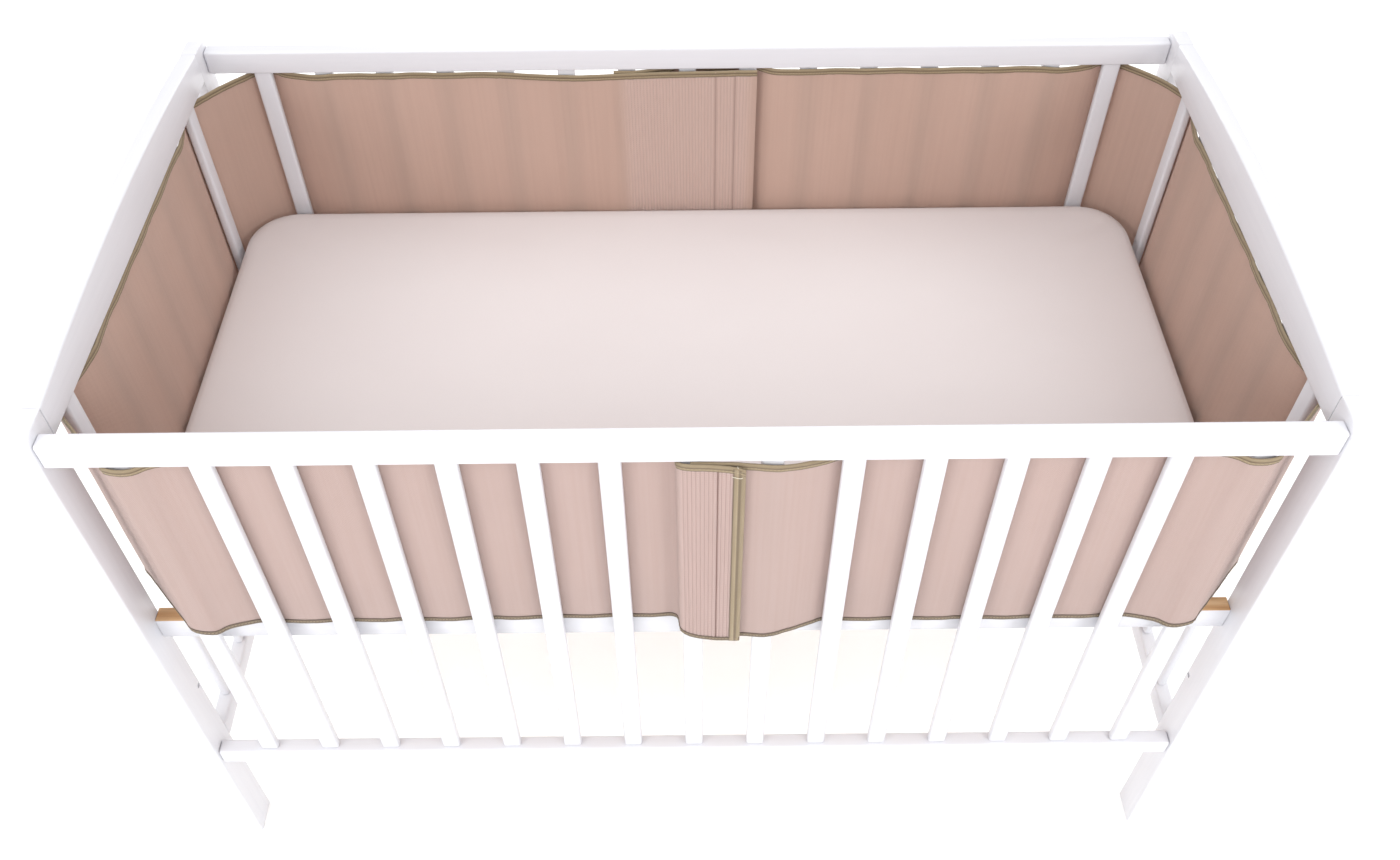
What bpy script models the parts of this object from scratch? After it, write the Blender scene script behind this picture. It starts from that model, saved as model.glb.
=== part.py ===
"""Crib bumper: a mesh liner in two bound panels, woven round the slats of a cot.

The cot, its slatted base and its mattress are plain, because the liner hangs on them.
Metres, +Z up, X along the cot. The origin is on the floor under the cot's middle.
"""
import math

import bmesh
import bpy
from mathutils import Vector

GAP = 0.0003                # between pieces that touch

# Cot: the two end frames
INNER_LENGTH = 1.206        # between the end frames, for a mattress of 1200 by 600
END_THICK = 0.019
HALF_DEPTH = 0.327          # from the middle to the front of a leg
LEG_WIDTH = 0.0413
LEG_TOP = 0.857
LEG_ROUND = 0.016           # radius of the leg's outer top corner
LEG_ROUND_STEPS = 4
ARCH_FOOT = 0.816           # lower edge of the arched rail
ARCH_MIDDLE = 0.873         # crown of the arch
ARCH_STEPS = 14
END_SLATS = 7
END_PITCH = 0.0777

# Cot: the two sides
SIDE_PLANE = 0.3145         # from the middle to the slats' centre plane
SLATS = 15
PITCH = 0.0768              # from slat to slat
SLAT_WIDTH = 0.022
SLAT_THICK = 0.010
SLAT_ROUND = 0.0025
RAIL_TOP = 0.8457
TOP_RAIL = (0.0182, 0.0315)     # thickness, height
LOW_RAIL = (0.0189, 0.0262)
LOW_RAIL_FOOT = 0.2059
RAIL_ROUND = 0.002

# Base and mattress
BASE_TOP = 0.508
BASE_RAIL = (0.018, 0.034)
BASE_HALF_WIDTH = 0.300
BASE_SLATS = 8
BASE_SLAT = (0.070, 0.012)      # width, thickness
BASE_SLAT_PITCH = 0.140
MATTRESS = (1.197, 0.600, 0.084)
MATTRESS_SHIFT = -0.0015
MATTRESS_CORNER = 0.070
MATTRESS_EDGE = 0.016
CROWN_INSET = 0.040
CROWN_RISE = 0.0025         # at the inset line, and again at the middle

# Liner
CLOTH_THICK = 0.0016
BINDING_THICK = 0.0026
BINDING_WIDTH = 0.0075      # from the fold to the open edge
END_BINDING_WIDTH = 0.0115
SLAT_CLEAR = 0.002          # cloth to slat
LAYER = 0.003               # centre to centre of two layers that lie on each other
FINE_STEP = 0.004           # along the smooth line that the columns are picked from
STEP = 0.017                # longest step between two columns
TURN = math.radians(16)     # most that the line turns between two columns
ROWS = 4                    # steps up a panel

COLOURS = {
    "liner_mesh": ((0.55, 0.38, 0.32, 1.0), 0.85),
    "binding_tape": ((0.27, 0.22, 0.14, 1.0), 0.75),
    "white_paint": ((0.90, 0.89, 0.91, 1.0), 0.40),
    "bare_wood": ((0.52, 0.33, 0.18, 1.0), 0.65),
    "mattress_cover": ((0.78, 0.70, 0.69, 1.0), 0.90),
}

INSIDE = -(SLAT_THICK / 2 + SLAT_CLEAR + CLOTH_THICK / 2)
OUTSIDE = -INSIDE
END_PLANE = INNER_LENGTH / 2 + END_THICK / 2
SCALLOP = 0.0012            # how far the cloth bows out between two slats
CROSS_SHARE = 0.66          # where it passes between two slats, from the one it lies inside
CORNER_SHARES = (0.1, 0.5, 0.9)     # where a corner's own rows lie on the line across it


def clear_scene():
    for thing in list(bpy.data.objects):
        bpy.data.objects.remove(thing, do_unlink=True)


def new_collection(name):
    group = bpy.data.collections.new(name)
    bpy.context.scene.collection.children.link(group)
    return group


def material(slot):
    found = bpy.data.materials.get(slot)
    if found:
        return found
    made = bpy.data.materials.new(slot)
    made.use_nodes = True
    shader = made.node_tree.nodes["Principled BSDF"]
    colour, roughness = COLOURS[slot]
    shader.inputs["Base Color"].default_value = colour
    shader.inputs["Roughness"].default_value = roughness
    shader.inputs["Metallic"].default_value = 0.0
    made.diffuse_color = colour
    return made


def add_object(name, data, group, slot, at=(0, 0, 0)):
    thing = bpy.data.objects.new(name, data)
    thing.location = at
    data.materials.append(material(slot))
    group.objects.link(thing)
    return thing


def bevel(thing, width):
    edge = thing.modifiers.new("edge", "BEVEL")
    edge.width = width
    edge.segments = 1
    edge.limit_method = "ANGLE"


def box_mesh(name, size):
    mesh = bpy.data.meshes.new(name)
    work = bmesh.new()
    bmesh.ops.create_cube(work, size=1.0)
    bmesh.ops.scale(work, vec=size, verts=work.verts)
    work.to_mesh(mesh)
    work.free()
    return mesh


def bar(name, group, slot, low, high, rounding):
    """A square bar between two corners, with its long edges eased."""
    low, high = Vector(low), Vector(high)
    thing = add_object(name, box_mesh(name, high - low), group, slot, (low + high) / 2)
    bevel(thing, rounding)
    return thing


def board(name, group, outline, x_middle):
    """A flat board in the YZ plane, cut to an outline of (y, z) points."""
    flat = bpy.data.curves.new(name, "CURVE")
    flat.dimensions = "2D"
    flat.fill_mode = "BOTH"
    flat.extrude = END_THICK / 2
    line = flat.splines.new("POLY")
    line.points.add(len(outline) - 1)
    for point, (y, z) in zip(line.points, outline):
        point.co = (y, z, 0.0, 1.0)
    line.use_cyclic_u = True
    thing = add_object(name, flat, group, "white_paint", (x_middle, 0, 0))
    thing.rotation_euler = (math.pi / 2, 0, math.pi / 2)
    weld = thing.modifiers.new("weld", "WELD")
    weld.merge_threshold = 0.0001
    bevel(thing, RAIL_ROUND)
    return thing


def side_slat_x(number):
    """X of slat 1 to 15, counted from the left."""
    return (number - (SLATS + 1) / 2) * PITCH


def end_slat_y(number):
    """Y of end slat 1 to 7, counted from the front."""
    return (number - (END_SLATS + 1) / 2) * END_PITCH


def build_side(group, name, sign):
    half = INNER_LENGTH / 2 - GAP
    plane = sign * SIDE_PLANE
    for part, foot, (thick, tall) in (
        ("top_rail", RAIL_TOP - TOP_RAIL[1], TOP_RAIL),
        ("low_rail", LOW_RAIL_FOOT, LOW_RAIL),
    ):
        low = (-half, plane - thick / 2, foot)
        high = (half, plane + thick / 2, foot + tall)
        bar(f"{name}_{part}", group, "white_paint", low, high, RAIL_ROUND)
    foot = LOW_RAIL_FOOT + LOW_RAIL[1] + GAP
    head = RAIL_TOP - TOP_RAIL[1] - GAP
    for number in range(1, SLATS + 1):
        x = side_slat_x(number)
        low = (x - SLAT_WIDTH / 2, plane - SLAT_THICK / 2, foot)
        high = (x + SLAT_WIDTH / 2, plane + SLAT_THICK / 2, head)
        bar(f"{name}_slat_{number:02d}", group, "white_paint", low, high, SLAT_ROUND)


def leg_outline(sign):
    """A leg seen from the end, with its outer top corner rounded."""
    inner = HALF_DEPTH - LEG_WIDTH
    points = [(inner, 0.0), (HALF_DEPTH, 0.0)]
    for step in range(LEG_ROUND_STEPS + 1):
        turn = math.radians(90 * step / LEG_ROUND_STEPS)
        y = HALF_DEPTH - LEG_ROUND + LEG_ROUND * math.cos(turn)
        points.append((y, LEG_TOP - LEG_ROUND + LEG_ROUND * math.sin(turn)))
    points.append((inner, LEG_TOP))
    return [(sign * y, z) for y, z in points]


def arch_outline():
    """The rail between the legs: straight below, a low arch above."""
    half = HALF_DEPTH - LEG_WIDTH - GAP
    points = [(-half, ARCH_FOOT), (half, ARCH_FOOT)]
    for step in range(ARCH_STEPS + 1):
        across = 1 - 2 * step / ARCH_STEPS
        rise = (ARCH_MIDDLE - LEG_TOP) * (1 - across * across)
        points.append((half * across, LEG_TOP + rise))
    return points


def build_end(group, cutters, name, sign):
    middle = sign * END_PLANE
    for leg, side in (("front", -1), ("back", 1)):
        board(f"{name}_leg_{leg}", group, leg_outline(side), middle)
    board(f"{name}_arched_rail", group, arch_outline(), middle)
    half = HALF_DEPTH - LEG_WIDTH - GAP
    low = (middle - END_THICK / 2, -half, LOW_RAIL_FOOT)
    high = (middle + END_THICK / 2, half, LOW_RAIL_FOOT + LOW_RAIL[1])
    rail = bar(f"{name}_slats_on_low_rail", group, "white_paint", low, high, RAIL_ROUND)
    tenons = bpy.data.collections.new(f"{name}_tenons")
    cutters.children.link(tenons)
    for number in range(1, END_SLATS + 1):
        y = end_slat_y(number)
        low = (middle - SLAT_THICK / 2, y - SLAT_WIDTH / 2, LOW_RAIL_FOOT + LOW_RAIL[1] / 2)
        high = (middle + SLAT_THICK / 2, y + SLAT_WIDTH / 2, ARCH_FOOT - GAP)
        slat = bar(f"{name}_tenoned_slat_{number}", tenons, "white_paint", low, high, SLAT_ROUND)
        slat.hide_render = True
        slat.display_type = "WIRE"
    join = rail.modifiers.new("tenons", "BOOLEAN")
    join.operation = "UNION"
    join.solver = "EXACT"
    join.operand_type = "COLLECTION"
    join.collection = tenons


def build_base(group):
    half = INNER_LENGTH / 2 - GAP
    foot = BASE_TOP - BASE_RAIL[1]
    inner = BASE_HALF_WIDTH - BASE_RAIL[0]
    for name, sign in (("front", -1), ("back", 1)):
        edges = sorted((sign * inner, sign * BASE_HALF_WIDTH))
        low = (-half, edges[0], foot)
        high = (half, edges[1], BASE_TOP)
        bar(f"base_rail_{name}", group, "white_paint", low, high, RAIL_ROUND / 2)
    for number in range(BASE_SLATS):
        x = (number - (BASE_SLATS - 1) / 2) * BASE_SLAT_PITCH
        low = (x - BASE_SLAT[0] / 2, -inner + GAP, BASE_TOP - BASE_SLAT[1])
        high = (x + BASE_SLAT[0] / 2, inner - GAP, BASE_TOP)
        bar(f"base_slat_{number + 1}", group, "bare_wood", low, high, RAIL_ROUND / 2)


def build_mattress(group):
    """One filled block with round corners, round edges and a low crown."""
    work = bmesh.new()
    bmesh.ops.create_cube(work, size=1.0)
    bmesh.ops.scale(work, vec=MATTRESS, verts=work.verts)
    upright = [e for e in work.edges if abs(e.verts[0].co.z - e.verts[1].co.z) > MATTRESS_EDGE]
    bmesh.ops.bevel(work, geom=upright, offset=MATTRESS_CORNER, segments=5, profile=0.5,
                    affect="EDGES")
    rims = [e for e in work.edges if abs(e.verts[0].co.z - e.verts[1].co.z) < GAP]
    bmesh.ops.bevel(work, geom=rims, offset=MATTRESS_EDGE, segments=3, profile=0.5,
                    affect="EDGES")
    work.faces.ensure_lookup_table()
    top = max(work.faces, key=lambda face: (face.calc_center_median().z, face.calc_area()))
    bmesh.ops.inset_region(work, faces=[top], thickness=CROWN_INSET, depth=CROWN_RISE)
    bmesh.ops.poke(work, faces=[top], offset=CROWN_RISE)
    mesh = bpy.data.meshes.new("mattress")
    work.to_mesh(mesh)
    work.free()
    middle = (MATTRESS_SHIFT, 0, BASE_TOP + GAP + MATTRESS[2] / 2)
    add_object("mattress", mesh, group, "mattress_cover", middle)


def place(side, along, out):
    """Plan position of the cloth's middle: a distance along one side, and out from its slats."""
    if side == "front":
        return along, -(SIDE_PLANE + out)
    if side == "back":
        return along, SIDE_PLANE + out
    if side == "left":
        return -(END_PLANE + out), along
    return END_PLANE + out, along


def slat_places(side):
    return side_slat_x if side in ("front", "back") else end_slat_y


def by_slat(side, along, edges, out, top, foot):
    """Rows beside one slat, at the given half widths from its middle."""
    return [(side, along + edge * SLAT_WIDTH / 2, out, top, foot) for edge in edges]


def weave(side, first, last, top, foot, last_foot=None):
    """Rows for cloth that lies inside a run of slats and bows out between them.

    They run from the far edge of the first slat to the near edge of the last.
    """
    across = slat_places(side)
    step = 1 if last > first else -1
    forward = math.copysign(1, across(last) - across(first))
    fall = 0.0 if last_foot is None else (last_foot - foot) / abs(last - first)
    rows = by_slat(side, across(first), (forward,), INSIDE, top, foot)
    for number in range(first + step, last + step, step):
        foot += fall
        rows += [(side, across(number - step / 2), INSIDE + SCALLOP, top, foot - fall / 2)]
        edges = (-forward,) if number == last else (-forward, forward)
        rows += by_slat(side, across(number), edges, INSIDE, top, foot)
    return rows


def cross(side, number, step, start, top, foot):
    """Rows that leave one slat's face, pass through the gap and reach the next slat's other face."""
    across = slat_places(side)
    forward = math.copysign(1, across(number + step) - across(number))
    rows = by_slat(side, across(number), (forward,), start, top, foot)
    share = CROSS_SHARE if start == INSIDE else 1 - CROSS_SHARE
    rows += [(side, across(number + step * share), 0.0, top, foot)]
    return rows + by_slat(side, across(number + step), (-forward,), -start, top, foot)


def corner(side_a, slat_a, side_b, slat_b, bulge, top, foot):
    """Rows from outside the last slat of one side, across the corner, to the next side's slat."""
    first = by_slat(side_a, slat_a, (math.copysign(1, slat_a),), OUTSIDE, top, foot)
    last = by_slat(side_b, slat_b, (math.copysign(1, slat_b),), OUTSIDE, top, foot)
    leave, reach = Vector(place(*first[0][:3])), Vector(place(*last[0][:3]))
    away = (leave + reach).normalized()
    rows = []
    for share in CORNER_SHARES:
        spot = leave.lerp(reach, share) + away * bulge * 4 * share * (1 - share)
        if side_a in ("front", "back"):
            rows.append((side_a, spot.x, abs(spot.y) - SIDE_PLANE, top, foot))
        else:
            rows.append((side_a, spot.y, abs(spot.x) - END_PLANE, top, foot))
    return first + rows + last


# One row for each fold or stretch: side, distance along it, distance out, top edge, lower edge.
def left_route():
    edge = side_slat_x(8) - SLAT_WIDTH / 2
    flap = OUTSIDE + LAYER
    rows = [
        ("front", 0.051, flap + 0.002, 0.8075, 0.5040),
        ("front", 0.042, flap + 0.001, 0.8100, 0.5020),
        ("front", 0.026, flap, 0.8115, 0.5000),
        ("front", 0.012, flap, 0.8120, 0.5020),
        ("front", edge + 0.004, flap, 0.8120, 0.5085),
        ("front", edge - 0.0035, OUTSIDE - 0.002, 0.8110, 0.5125),
        ("front", edge - 0.0045, 0.002, 0.8105, 0.5160),
        ("front", edge - 0.012, INSIDE + 0.002, 0.8100, 0.5195),
        ("front", edge - 0.033, INSIDE + 0.001, 0.8090, 0.5198),
    ]
    rows += weave("front", 7, 2, 0.809, 0.5192, 0.5145)
    rows += cross("front", 2, -1, INSIDE, 0.810, 0.516)
    rows += corner("front", side_slat_x(1), "left", end_slat_y(1), 0.0, 0.812, 0.524)
    rows += cross("left", 1, 1, OUTSIDE, 0.812, 0.520)
    rows += weave("left", 2, 6, 0.8138, 0.512)
    rows += cross("left", 6, 1, INSIDE, 0.812, 0.512)
    rows += corner("left", end_slat_y(7), "back", side_slat_x(1), 0.005, 0.809, 0.512)
    rows += cross("back", 1, 1, OUTSIDE, 0.811, 0.511)
    rows += weave("back", 2, 5, 0.812, 0.510)
    rows += [("back", side_slat_x(5.6), INSIDE, 0.808, 0.510)]
    rows += [("back", side_slat_x(6.2), INSIDE - LAYER / 2, 0.807, 0.510)]
    rows += [("back", side_slat_x(6.7), INSIDE - LAYER, 0.809, 0.510)]
    rows += [("back", side_slat_x(7), INSIDE - LAYER, 0.810, 0.510)]
    rows += [("back", side_slat_x(8), INSIDE - LAYER, 0.812, 0.510)]
    rows += [("back", side_slat_x(9) + 0.0115, INSIDE - LAYER, 0.812, 0.510)]
    return rows


def right_route():
    rows = [
        ("front", side_slat_x(8) - 0.001, OUTSIDE, 0.8120, 0.506),
        ("front", side_slat_x(8) + 0.026, OUTSIDE, 0.8120, 0.505),
        ("front", side_slat_x(9) - 0.020, OUTSIDE, 0.8105, 0.503),
        ("front", side_slat_x(9) + 0.004, OUTSIDE + 0.0005, 0.8070, 0.501),
        ("front", side_slat_x(9) + 0.028, OUTSIDE - 0.005, 0.8040, 0.503),
        ("front", side_slat_x(10) - 0.024, INSIDE + 0.004, 0.8035, 0.506),
    ]
    rows += by_slat("front", side_slat_x(10), (-1,), INSIDE, 0.8050, 0.507)
    rows += weave("front", 10, 14, 0.808, 0.507, 0.509)
    rows += cross("front", 14, 1, INSIDE, 0.810, 0.5115)
    rows += corner("front", side_slat_x(15), "right", end_slat_y(1), 0.0, 0.812, 0.519)
    rows += cross("right", 1, 1, OUTSIDE, 0.812, 0.517)
    rows += weave("right", 2, 6, 0.8125, 0.511)
    rows += cross("right", 6, 1, INSIDE, 0.811, 0.511)
    rows += corner("right", end_slat_y(7), "back", side_slat_x(15), 0.009, 0.808, 0.512)
    rows += cross("back", 15, -1, OUTSIDE, 0.811, 0.511)
    rows += weave("back", 14, 10, 0.812, 0.510)
    rows += by_slat("back", side_slat_x(10), (-1,), INSIDE, 0.812, 0.510)
    rows += [
        ("back", side_slat_x(9) + 0.032, INSIDE + 0.001, 0.812, 0.510),
        ("back", side_slat_x(9) + 0.0175, 0.0, 0.812, 0.510),
        ("back", side_slat_x(9) + 0.008, OUTSIDE, 0.811, 0.510),
        ("back", side_slat_x(8.5), OUTSIDE, 0.808, 0.510),
    ]
    rows += cross("back", 8, -1, OUTSIDE, 0.812, 0.510)
    rows += by_slat("back", side_slat_x(7), (0, -1.5), INSIDE, 0.812, 0.510)
    return rows


def smooth(rows):
    """Dense (x, y, top, foot) points on a centripetal curve through the rows."""
    knots = [Vector((*place(side, along, out), top, foot)) for side, along, out, top, foot in rows]
    knots = [2 * knots[0] - knots[1]] + knots + [2 * knots[-1] - knots[-2]]
    points = []
    for a, b, c, d in zip(knots, knots[1:], knots[2:], knots[3:]):
        t0 = math.sqrt((b - a).length)
        t1 = t0 + math.sqrt((c - b).length)
        t2 = t1 + math.sqrt((d - c).length)
        steps = max(1, round((c - b).length / FINE_STEP))
        for step in range(steps):
            t = t0 + (t1 - t0) * step / steps
            ab = a.lerp(b, t / t0)
            bc = b.lerp(c, (t - t0) / (t1 - t0))
            cd = c.lerp(d, (t - t1) / (t2 - t1))
            left = ab.lerp(bc, t / t1)
            right = bc.lerp(cd, (t - t0) / (t2 - t0))
            points.append(left.lerp(right, (t - t0) / (t1 - t0)))
    points.append(knots[-2])
    return points


def thin_out(points):
    """Keep the points that the bends need, and one every STEP on the straights."""
    kept = [0]
    turned = 0.0
    for index in range(1, len(points) - 1):
        before = (points[index] - points[index - 1]).xy
        after = (points[index + 1] - points[index]).xy
        turned += abs(before.angle_signed(after))
        run = (points[index] - points[kept[-1]]).xy.length
        if run >= STEP or turned > TURN:
            kept.append(index)
            turned = 0.0
    kept.append(len(points) - 1)
    return [points[index] for index in kept]


def start_at(points, distance):
    """The same line, cut back by a distance from its first point."""
    run = 0.0
    for index in range(1, len(points)):
        piece = (points[index] - points[index - 1]).xy.length
        if run + piece > distance + GAP:
            first = points[index - 1].lerp(points[index], (distance - run) / piece)
            return [first] + points[index:]
        run += piece
    return points


def cloth(name, group, slot, thick, columns, heights, keep):
    """An open grid on the columns, each cut at the heights, thickened to a sheet.

    heights gives a column's levels from its top and foot. keep says which cells stay.
    """
    rows = len(heights(1.0, 0.0)) - 1
    work = bmesh.new()
    bmesh.ops.create_grid(work, x_segments=len(columns) - 1, y_segments=rows, size=0.5)
    cells = {}
    for vert in work.verts:
        across = round((vert.co.x + 0.5) * (len(columns) - 1))
        up = round((vert.co.y + 0.5) * rows)
        cells[vert] = (across, up)
    for vert, (across, up) in cells.items():
        x, y, top, foot = columns[across]
        vert.co = (x, y, heights(top, foot)[up])
    lost = []
    for face in work.faces:
        across = min(cells[vert][0] for vert in face.verts)
        up = min(cells[vert][1] for vert in face.verts)
        if not keep(across, up):
            lost.append(face)
    bmesh.ops.delete(work, geom=lost, context="FACES")
    mesh = bpy.data.meshes.new(name)
    work.to_mesh(mesh)
    work.free()
    thing = add_object(name, mesh, group, slot)
    wall = thing.modifiers.new("thickness", "SOLIDIFY")
    wall.thickness = thick
    wall.offset = 0.0
    wall.use_even_offset = True
    return thing


def panel_heights(top, foot):
    low = foot + BINDING_WIDTH + GAP
    high = top - BINDING_WIDTH - GAP
    return [low + (high - low) * row / ROWS for row in range(ROWS + 1)]


def binding_heights(top, foot):
    return [foot, foot + BINDING_WIDTH, top - BINDING_WIDTH, top]


def build_panel(group, name, rows):
    """A mesh panel and the tape that binds its top, its foot and its front end."""
    line = thin_out(smooth(rows))
    inner = start_at(line, END_BINDING_WIDTH + GAP)
    cloth(f"liner_panel_{name}", group, "liner_mesh", CLOTH_THICK, inner, panel_heights,
          lambda across, up: True)
    taped = [line[0]] + start_at(line, END_BINDING_WIDTH)
    cloth(f"liner_binding_{name}", group, "binding_tape", BINDING_THICK, taped, binding_heights,
          lambda across, up: up != 1 or across == 0)


def main():
    clear_scene()
    group = new_collection("crib_bumper_on_cot")
    cutters = new_collection("cutters")
    build_side(group, "front", -1)
    build_side(group, "back", 1)
    build_end(group, cutters, "left", -1)
    build_end(group, cutters, "right", 1)
    build_base(group)
    build_mattress(group)
    build_panel(group, "left", left_route())
    build_panel(group, "right", right_route())


main()
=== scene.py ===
"""The finished look of a mesh crib bumper, woven round the slats of a white cot."""
import math

import bmesh
import bpy
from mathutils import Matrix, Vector, noise


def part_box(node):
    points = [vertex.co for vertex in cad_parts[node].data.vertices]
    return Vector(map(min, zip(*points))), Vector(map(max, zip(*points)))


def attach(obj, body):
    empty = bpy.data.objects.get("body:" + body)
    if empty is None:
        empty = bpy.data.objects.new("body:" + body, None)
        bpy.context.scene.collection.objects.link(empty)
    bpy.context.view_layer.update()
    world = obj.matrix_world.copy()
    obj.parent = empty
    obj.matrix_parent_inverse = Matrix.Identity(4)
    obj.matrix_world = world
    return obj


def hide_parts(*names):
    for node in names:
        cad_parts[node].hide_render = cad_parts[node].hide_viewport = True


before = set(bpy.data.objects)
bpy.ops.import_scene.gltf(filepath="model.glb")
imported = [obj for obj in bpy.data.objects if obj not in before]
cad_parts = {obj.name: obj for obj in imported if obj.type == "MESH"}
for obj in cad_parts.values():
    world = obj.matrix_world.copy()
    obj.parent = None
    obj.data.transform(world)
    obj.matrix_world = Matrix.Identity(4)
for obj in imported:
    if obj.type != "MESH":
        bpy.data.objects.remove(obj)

bpy.ops.object.select_all(action="DESELECT")
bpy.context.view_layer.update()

# Camera
CAMERA_PLACE = (0.0, -1.063, 1.754)
CAMERA_TURN = (42.34, 0.40, -0.42)      # degrees
CAMERA_LENS = 32.96
CAMERA_SHIFT = (0.0071, -0.0429)

# Joinery
EASE = 0.0028               # radius of a painted edge
JOINT_EASE = 0.0012         # where two boards meet
SAWN_EASE = 0.0010
LEG_CORNER = 0.016
ARCH_CUTS = 27
END_SLATS = 7
END_PITCH = 0.0777
SLAT_WIDTH = 0.022
SLAT_THICK = 0.010
SLAT_EASE = 0.0030
GAP = 0.0003
SPARE_HOLE = (0.0035, 0.012, 0.2905, 0.345)     # radius, depth, distance from the middle, height

# Mattress
MATTRESS_CORNER = 0.064     # round corners, from above
MATTRESS_RIM = 0.011        # round edge between the top and the sides
MATTRESS_CROWN = 0.004
MATTRESS_CUTS = (110, 60, 10)   # along, across, up
CROWN_FALL = 0.6            # power by which the crown falls towards the edges
SHEET_EDGE = 0.02           # the creases start this far in from the edge
SHEET_WAVES = ((0.0007, 5, 9, 0.4), (0.0003, 22, 30, 2.4))  # height, turns per metre, place

# Liner
SLATS = 15
CLOTH_THICK = 0.0016
SLAT_CLEAR = 0.002
LAYER = 0.003               # centre to centre of two layers that lie on each other
SCALLOP = 0.0012            # how far the cloth bows out between two slats
CROSS_SHARE = 0.66          # where it passes between two slats, from the one it lies inside
CORNER_SHARES = (0.1, 0.5, 0.9)     # where a corner's own rows lie on the line across it
INSIDE = -(SLAT_THICK / 2 + SLAT_CLEAR + CLOTH_THICK / 2)
OUTSIDE = -INSIDE
FINE_STEP = 0.0012          # along the smooth line of a route
COLUMN = 0.0045             # between columns of the plain mesh
RIB_COLUMN = 0.0008         # between columns where the ribs are raised
RIB_PITCH = 0.0041
RIB_RISE = 0.0004
HOLE_PITCH = 0.0033         # up the cloth where it is doubled
COARSE_FADE = {"front": 0.007, "back": 0.022}   # how softly a coarse stretch begins
SEAM_HALF = 0.0010
SEAM_DEPTH = 0.0009
PUCKER = 0.00055            # beside the taped edges
SLACK = ((0.0006, 11, 5, 0), (0.00035, 42, 10, 7))  # depth, turns per metre across and up, place
PANEL_ROWS = 38
TAPE_WIDTH = 0.0078         # from the fold to the open edge
END_TAPE_WIDTH = 0.0118
TAPE_THICK = 0.0005
TAPE_HALF = 0.00125         # from the cloth's middle to the tape's middle
TAPE_STEP = 0.005
TAPE_BULGE = 1.12           # the folded tape's fullest place, in half thicknesses
TAPE_SEAM = 0.62            # where its stitches run, in tape widths from the fold
END_TAPE_INSET = 0.0008     # of the upright tape's ends, so that they don't stick out
STITCH_PITCH = 0.0036
STITCH_LONG = 0.0028
STITCH_RADIUS = 0.00028
THREAD_RADIUS = 0.0003
TAPE_MARGIN = 0.009         # upright stitches end this far from the edges
SEAM_MARGIN = 0.010


def srgb(red, green, blue):
    """Linear colour from the 0 to 255 values that a screen shows."""
    def linear(value):
        value /= 255
        return value / 12.92 if value <= 0.04045 else ((value + 0.055) / 1.055) ** 2.4
    return (linear(red), linear(green), linear(blue), 1.0)


# Materials: small helpers, then one function for each finish

def new_material(name):
    made = bpy.data.materials.new(name)
    made.use_nodes = True
    return made, made.node_tree, made.node_tree.nodes["Principled BSDF"]


def node(tree, kind, inputs=None, **settings):
    made = tree.nodes.new(kind)
    for key, value in settings.items():
        setattr(made, key, value)
    for key, value in (inputs or {}).items():
        if isinstance(value, bpy.types.NodeSocket):
            tree.links.new(value, made.inputs[key])
        else:
            made.inputs[key].default_value = value
    return made


def calc(tree, operation, a, b=None, c=None):
    inputs = {0: a}
    if b is not None:
        inputs[1] = b
    if c is not None:
        inputs[2] = c
    return node(tree, "ShaderNodeMath", inputs, operation=operation).outputs[0]


def stretched(tree, scale, source="Object"):
    coordinates = node(tree, "ShaderNodeTexCoord")
    mapped = node(tree, "ShaderNodeMapping", {"Vector": coordinates.outputs[source], "Scale": scale})
    return mapped.outputs[0]


def cloud(tree, vector, scale, detail=3.0, roughness=0.5):
    inputs = {"Vector": vector, "Scale": scale, "Detail": detail, "Roughness": roughness}
    return node(tree, "ShaderNodeTexNoise", inputs).outputs["Fac"]


def spread(tree, value, low, high, to_low, to_high):
    inputs = {0: value, 1: low, 2: high, 3: to_low, 4: to_high}
    return node(tree, "ShaderNodeMapRange", inputs).outputs[0]


def ramp(tree, value, *stops):
    """Colours along a value: each stop is a place from 0 to 1 and its colour."""
    made = node(tree, "ShaderNodeValToRGB", {0: value})
    band = made.color_ramp
    while len(band.elements) < len(stops):
        band.elements.new(0.5)
    for element, (where, colour) in zip(band.elements, stops):
        element.position = where
        element.color = colour
    return made.outputs[0]


def blend_colours(tree, factor, first, second):
    made = node(tree, "ShaderNodeMix", data_type="RGBA")
    for socket, value in ((made.inputs[0], factor), (made.inputs[6], first), (made.inputs[7], second)):
        if isinstance(value, bpy.types.NodeSocket):
            tree.links.new(value, socket)
        else:
            socket.default_value = value
    return made.outputs[2]


def bump(tree, height, distance, strength=1.0, normal=None):
    inputs = {"Height": height, "Distance": distance, "Strength": strength}
    if normal is not None:
        inputs["Normal"] = normal
    return node(tree, "ShaderNodeBump", inputs).outputs[0]


def white_paint(name, along):
    """Satin paint on wood: the grain telegraphs through, drawn out along the board."""
    made, tree, shader = new_material(name)
    scale = [160.0, 160.0, 160.0]
    scale["xyz".index(along)] = 7.0
    grain = cloud(tree, stretched(tree, scale), 1.0, 4.0, 0.6)
    broad = cloud(tree, stretched(tree, (3.0, 3.0, 3.0)), 1.0, 2.0)
    peel = cloud(tree, stretched(tree, (420.0, 420.0, 420.0)), 1.0, 2.0)
    shade = blend_colours(tree, broad, srgb(214, 214, 219), srgb(220, 220, 225))
    shade = blend_colours(tree, spread(tree, grain, 0.30, 0.75, 0.16, 0.0), shade, srgb(196, 195, 202))
    tree.links.new(shade, shader.inputs["Base Color"])
    rough = spread(tree, grain, 0.25, 0.75, 0.42, 0.30)
    tree.links.new(rough, shader.inputs["Roughness"])
    skin = bump(tree, peel, 0.00006, 0.5)
    tree.links.new(bump(tree, grain, 0.00012, 0.6, skin), shader.inputs["Normal"])
    shader.inputs["Coat Weight"].default_value = 0.12
    shader.inputs["Coat Roughness"].default_value = 0.25
    return made


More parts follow.
